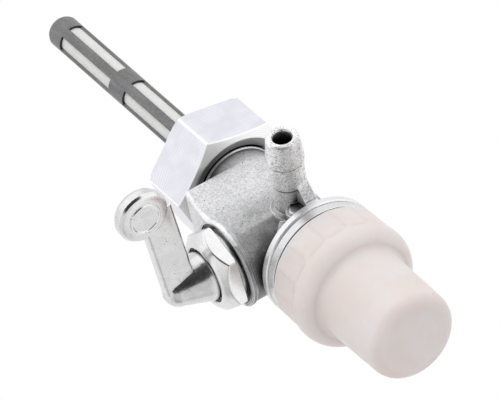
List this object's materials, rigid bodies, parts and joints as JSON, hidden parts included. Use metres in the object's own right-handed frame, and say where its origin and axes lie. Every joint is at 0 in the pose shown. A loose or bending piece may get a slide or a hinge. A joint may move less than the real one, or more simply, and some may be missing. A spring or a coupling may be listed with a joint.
{
  "type": "fuel tap",
  "caption": "Fuel tap: union nut with a long strainer, cast body with a turning lever and a hose barb, and a screwed sediment bowl below.",
  "frame": {"origin": "centre of the sealing washer's top face, where the tank's spigot seats", "axes": "+Z along the union nut and the strainer, up into the tank; +X towards the hose barb; -Y towards the lever"},
  "size_m": [0.0417, 0.0493, 0.1302],
  "materials": {
    "cast_zinc": "die-cast zinc, grained, with small pits",
    "nut_aluminium": "bright machined aluminium",
    "fibre": "red-brown vulcanised fibre washer",
    "cage_plastic": "dark grey moulded plastic, satin",
    "gauze": "white woven nylon gauze",
    "pipe_brass": "drawn brass tube",
    "black_rubber": "moulded fuel-proof rubber",
    "lever_plate": "die-cast and bright plated",
    "spring_steel": "hardened spring steel",
    "gland_plate": "plated brass nut, bright",
    "bowl_nylon": "off-white moulded nylon, softly glossy",
    "frame_plastic": "natural moulded plastic"
  },
  "bodies": {
    "housing": {"body": "cast_zinc", "passage_plug": "cast_zinc", "tank_seal": "fibre", "strainer_cage": "cage_plastic", "strainer_gauze": "gauze", "standpipe": "pipe_brass", "valve_gasket": "black_rubber", "wave_washer": "spring_steel", "gland_nut": "gland_plate", "filter_frame": "frame_plastic", "filter_gauze": "gauze"},
    "lever": {"lever": "lever_plate", "stem_seal": "black_rubber"},
    "union_nut": {"tank_nut": "nut_aluminium"},
    "bowl_ring": {"bowl_seal": "black_rubber"},
    "bowl": {"bowl": "bowl_nylon"}
  },
  "joints": [
    {"name": "lever_turn", "type": "hinge", "parent": "housing", "child": "lever", "pos_m": [0, 0, -0.0227], "axis": [0, -1, 0], "range_deg": [-85.3, 94.7]},
    {"name": "union_nut_turn", "type": "hinge", "parent": "housing", "child": "union_nut", "pos_m": [0, 0, 0], "axis": [0, 0, 1], "continuous": true},
    {"name": "bowl_turn", "type": "hinge", "parent": "housing", "child": "bowl_ring", "pos_m": [0, 0, -0.0377], "axis": [0, 0, -1], "range_deg": [0, 1440]},
    {"name": "bowl_drop", "type": "slide", "parent": "bowl_ring", "child": "bowl", "axis": [0, 0, -1], "range_m": [0, 0.006]}
  ],
  "couplings": [
    {"joint": "bowl_drop", "follows": "bowl_turn", "m_per_rad": 0.00023873}
  ]
}
